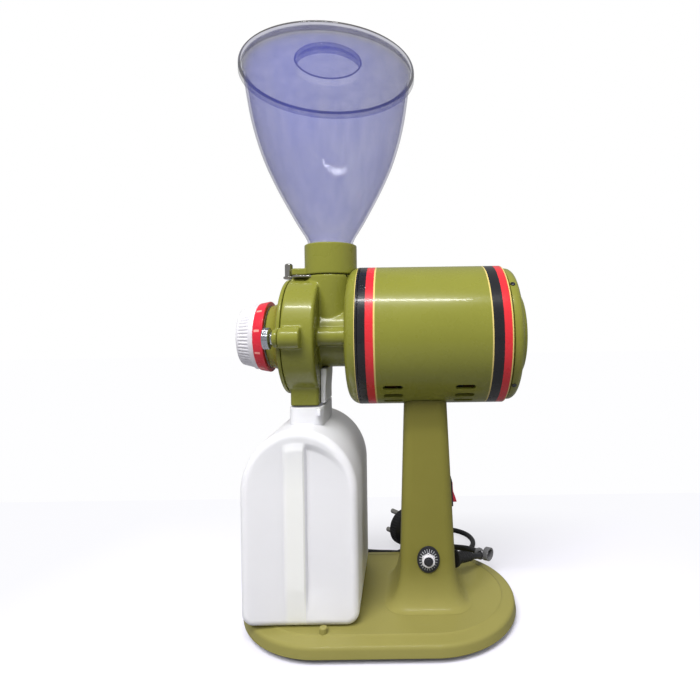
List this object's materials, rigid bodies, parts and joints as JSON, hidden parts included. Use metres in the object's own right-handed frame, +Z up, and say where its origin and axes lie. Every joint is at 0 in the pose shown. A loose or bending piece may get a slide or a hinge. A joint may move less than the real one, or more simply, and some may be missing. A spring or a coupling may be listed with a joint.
{
  "type": "electric coffee grinder",
  "caption": "Upright electric coffee grinder: flat burrs on a motor, tall clear hopper, stepless dial, cast column and base, and a white powder bin.",
  "frame": {"origin": "on the table, under the middle of the grinder's box without its cord", "axes": "+X from the adjusting dial to the motor's tail, +Y from the reset button's side to the cord's side, +Z up"},
  "size_m": [0.2371, 0.209, 0.4461],
  "materials": {
    "olive_paint": "satin olive enamel on castings and sheet",
    "base_paint": "olive enamel with a slightly pebbled satin surface",
    "tinted_plastic": "clear periwinkle-tinted plastic, polished",
    "milky_plastic": "translucent white blow-moulded plastic",
    "white_plastic": "plain moulded can",
    "satin_alloy": "knurled satin alloy",
    "red_band": "red enamel",
    "zinc": "bright zinc plate",
    "steel": "ground steel",
    "dark_steel": "blued steel",
    "copper_winding": "varnished copper wire",
    "black_rubber": "matt moulded rubber",
    "black_plastic": "moulded satin plastic",
    "red_plastic": "tinted moulded plastic",
    "cord_sheath": "smooth flexible sheath",
    "grey_plastic": "moulded satin plastic",
    "nickel": "nickel plate"
  },
  "bodies": {
    "frame": {"motor_shell": "olive_paint", "motor_front_flange": "olive_paint", "motor_rear_cover": "olive_paint", "stator_core": "dark_steel", "stator_winding_front": "copper_winding", "stator_winding_rear": "copper_winding", "front_bearing": "steel", "rear_bearing": "steel", "grinder_body": "olive_paint", "chute_guard": "milky_plastic", "fixed_burr": "steel", "front_cover": "olive_paint", "cover_screw_near": "zinc", "cover_screw_far": "zinc", "neck_collar": "olive_paint", "base": "base_paint", "base_bottom_plate": "dark_steel", "foot_1": "black_rubber", "foot_2": "black_rubber", "foot_3": "black_rubber", "foot_4": "black_rubber", "column": "olive_paint", "column_bolt_1": "zinc", "column_bolt_2": "zinc", "column_bolt_3": "zinc", "column_bolt_4": "zinc", "run_capacitor": "white_plastic", "breaker_plate": "black_plastic", "breaker_nut": "zinc", "breaker_body": "black_plastic", "rocker_housing": "black_plastic", "strain_relief": "black_rubber", "cord_lead": "cord_sheath", "cord_coil": "cord_sheath", "cord_tail": "cord_sheath", "cord_tie": "grey_plastic", "plug_body": "cord_sheath", "plug_pin_upper": "nickel", "plug_pin_lower": "nickel"},
    "rotor": {"motor_shaft": "steel", "rotor_core": "dark_steel", "cooling_fan": "black_plastic", "feed_auger": "steel", "burr_spring": "steel"},
    "dial": {"adjusting_dial": "satin_alloy", "dial_ring": "red_band"},
    "spindle": {"adjusting_spindle": "steel", "thrust_ball": "steel"},
    "burr_set": {"rotating_burr": "steel", "burr_holder": "dark_steel"},
    "gate": {"feed_gate": "nickel", "feed_gate_pin": "nickel"},
    "hopper_body": {"hopper": "tinted_plastic"},
    "lid": {"hopper_lid": "tinted_plastic"},
    "bin": {"powder_bin": "milky_plastic"},
    "rocker": {"power_rocker": "red_plastic"},
    "reset": {"reset_button": "black_plastic"}
  },
  "joints": [
    {"name": "motor_turn", "type": "hinge", "parent": "frame", "child": "rotor", "pos_m": [0, 0, 0.2215], "axis": [1, 0, 0], "continuous": true},
    {"name": "dial_turn", "type": "hinge", "parent": "frame", "child": "dial", "pos_m": [0, 0, 0.2215], "axis": [1, 0, 0], "range_deg": [-150, 150]},
    {"name": "spindle_feed", "type": "slide", "parent": "frame", "child": "spindle", "axis": [1, 0, 0], "range_m": [-0.00063, 0.00063]},
    {"name": "burr_turn", "type": "hinge", "parent": "spindle", "child": "burr_set", "pos_m": [0, 0, 0.2215], "axis": [1, 0, 0], "continuous": true},
    {"name": "gate_slide", "type": "slide", "parent": "frame", "child": "gate", "axis": [-1, 0, 0], "range_m": [0, 0.03]},
    {"name": "hopper_lift", "type": "slide", "parent": "frame", "child": "hopper_body", "axis": [0, 0, 1], "range_m": [0, 0.03]},
    {"name": "lid_lift", "type": "slide", "parent": "hopper_body", "child": "lid", "axis": [0, 0, 1], "range_m": [0, 0.03]},
    {"name": "bin_slide", "type": "slide", "parent": "frame", "child": "bin", "axis": [-1, 0, 0], "range_m": [0, 0.1]},
    {"name": "rocker_tilt", "type": "hinge", "parent": "frame", "child": "rocker", "pos_m": [0.05619, 0, 0.09407], "axis": [0, 1, 0], "range_deg": [0, 20]},
    {"name": "reset_push", "type": "slide", "parent": "frame", "child": "reset", "axis": [0, 1, 0], "range_m": [0, 0.002], "stiffness_N_per_m": 300}
  ],
  "couplings": [
    {"joint": "spindle_feed", "follows": "dial_turn", "m_per_rad": 0.0002387},
    {"joint": "burr_turn", "follows": "motor_turn", "ratio": 1}
  ]
}
